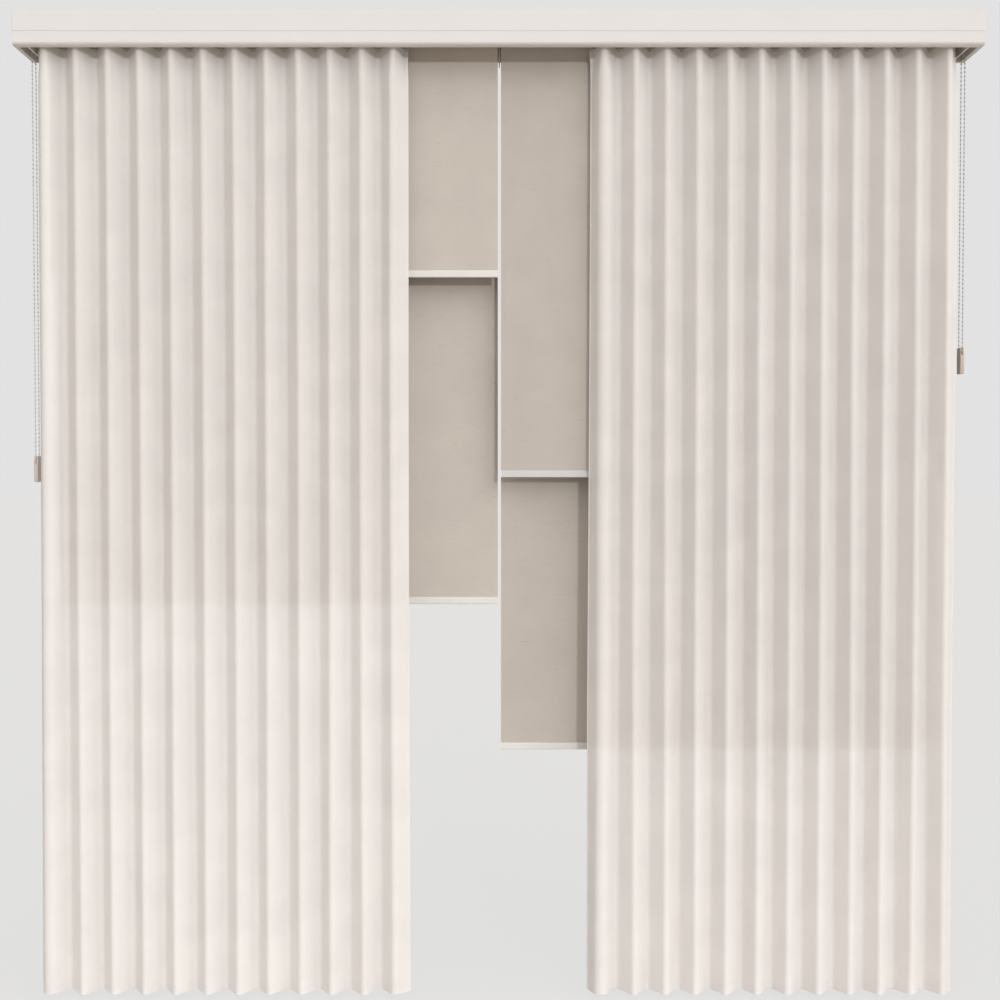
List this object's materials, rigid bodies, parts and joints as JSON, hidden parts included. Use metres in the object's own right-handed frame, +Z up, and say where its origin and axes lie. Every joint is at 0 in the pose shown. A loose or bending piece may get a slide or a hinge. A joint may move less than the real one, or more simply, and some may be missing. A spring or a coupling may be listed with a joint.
{
  "type": "pelmet curtain and roller blind set",
  "caption": "Pelmet box with pleated sheer curtains on a rail and staggered roller blinds behind, the front ones raised by bead chains.",
  "frame": {"origin": "centre of the pelmet's top face, which meets the ceiling", "axes": "+X to the right seen from the room, +Y back to the wall, +Z up"},
  "size_m": [2.7, 0.178, 2.774],
  "materials": {
    "painted_board": "satin off-white paint",
    "plate": "satin off-white paint",
    "bracket": "satin",
    "steel": "satin",
    "rail": "white powder coat",
    "white_plastic": "matt",
    "grey_plastic": "matt",
    "glider": "matt",
    "sheer": "sheer voile",
    "blind_cloth": "slubby linen weave",
    "tube": "mill",
    "bar": "white powder coat",
    "chain": "satin",
    "pendant": "satin"
  },
  "bodies": {
    "pelmet": {"fascia_board": "painted_board", "top_board": "painted_board", "back_board": "painted_board", "end_board_left": "painted_board", "end_board_right": "painted_board", "side_plate_left": "plate", "side_plate_right": "plate", "centre_bracket": "bracket", "board_screws": "steel", "hanger_screws": "steel", "rail_hangers": "bracket", "curtain_rail": "rail", "rail_end_caps": "white_plastic", "curtain_left": "sheer", "curtain_right": "sheer", "gliders_left": "glider", "gliders_right": "glider", "chain_left": "chain", "chain_right": "chain", "pendant_left": "pendant", "pendant_right": "pendant", "left_front_cloth": "blind_cloth", "right_front_cloth": "blind_cloth", "left_rear_cloth": "blind_cloth", "right_rear_cloth": "blind_cloth"},
    "left_lead": {"lead_glider_left": "glider"},
    "right_lead": {"lead_glider_right": "glider"},
    "left_front_roller": {"left_front_tube": "tube", "left_front_roll": "blind_cloth", "left_front_idle_plug": "grey_plastic", "left_front_chain_wheel": "grey_plastic"},
    "left_front_bar_body": {"left_front_bar": "bar", "left_front_bar_caps": "white_plastic"},
    "right_front_roller": {"right_front_tube": "tube", "right_front_roll": "blind_cloth", "right_front_idle_plug": "grey_plastic", "right_front_chain_wheel": "grey_plastic"},
    "right_front_bar_body": {"right_front_bar": "bar", "right_front_bar_caps": "white_plastic"},
    "left_rear_roller": {"left_rear_tube": "tube", "left_rear_roll": "blind_cloth", "left_rear_idle_plug": "grey_plastic", "left_rear_spring_plug": "grey_plastic"},
    "left_rear_bar_body": {"left_rear_bar": "bar", "left_rear_bar_caps": "white_plastic"},
    "right_rear_roller": {"right_rear_tube": "tube", "right_rear_roll": "blind_cloth", "right_rear_idle_plug": "grey_plastic", "right_rear_spring_plug": "grey_plastic"},
    "right_rear_bar_body": {"right_rear_bar": "bar", "right_rear_bar_caps": "white_plastic"}
  },
  "joints": [
    {"name": "left_curtain_draw", "type": "slide", "parent": "pelmet", "child": "left_lead", "axis": [-1, 0, 0], "range_m": [0, 0.7], "deforming": ["curtain_left", "gliders_left"]},
    {"name": "right_curtain_draw", "type": "slide", "parent": "pelmet", "child": "right_lead", "axis": [1, 0, 0], "range_m": [0, 0.7], "deforming": ["curtain_right", "gliders_right"]},
    {"name": "left_front_lift", "type": "slide", "parent": "pelmet", "child": "left_front_bar_body", "axis": [0, 0, 1], "range_m": [0, 0.6445], "deforming": ["left_front_cloth"]},
    {"name": "left_front_roller_spin", "type": "hinge", "parent": "pelmet", "child": "left_front_roller", "pos_m": [0, 0.0245, -0.044], "axis": [-1, 0, 0], "range_deg": [0, 2058.3]},
    {"name": "right_front_lift", "type": "slide", "parent": "pelmet", "child": "right_front_bar_body", "axis": [0, 0, 1], "range_m": [0, 1.215], "deforming": ["right_front_cloth"]},
    {"name": "right_front_roller_spin", "type": "hinge", "parent": "pelmet", "child": "right_front_roller", "pos_m": [0, 0.0245, -0.044], "axis": [-1, 0, 0], "range_deg": [0, 3677.1]},
    {"name": "left_rear_lift", "type": "slide", "parent": "pelmet", "child": "left_rear_bar_body", "axis": [0, 0, 1], "range_m": [0, 1.5465], "deforming": ["left_rear_cloth"]},
    {"name": "left_rear_roller_spin", "type": "hinge", "parent": "pelmet", "child": "left_rear_roller", "pos_m": [0, 0.051, -0.08], "axis": [1, 0, 0], "range_deg": [0, 4547.9]},
    {"name": "right_rear_lift", "type": "slide", "parent": "pelmet", "child": "right_rear_bar_body", "axis": [0, 0, 1], "range_m": [0, 1.973], "deforming": ["right_rear_cloth"]},
    {"name": "right_rear_roller_spin", "type": "hinge", "parent": "pelmet", "child": "right_rear_roller", "pos_m": [0, 0.051, -0.08], "axis": [1, 0, 0], "range_deg": [0, 5604.9]}
  ],
  "couplings": [
    {"joint": "left_front_roller_spin", "follows": "left_front_lift", "rad_per_m": 55.685},
    {"joint": "right_front_roller_spin", "follows": "right_front_lift", "rad_per_m": 52.792},
    {"joint": "left_rear_roller_spin", "follows": "left_rear_lift", "rad_per_m": 51.304},
    {"joint": "right_rear_roller_spin", "follows": "right_rear_lift", "rad_per_m": 49.564}
  ]
}
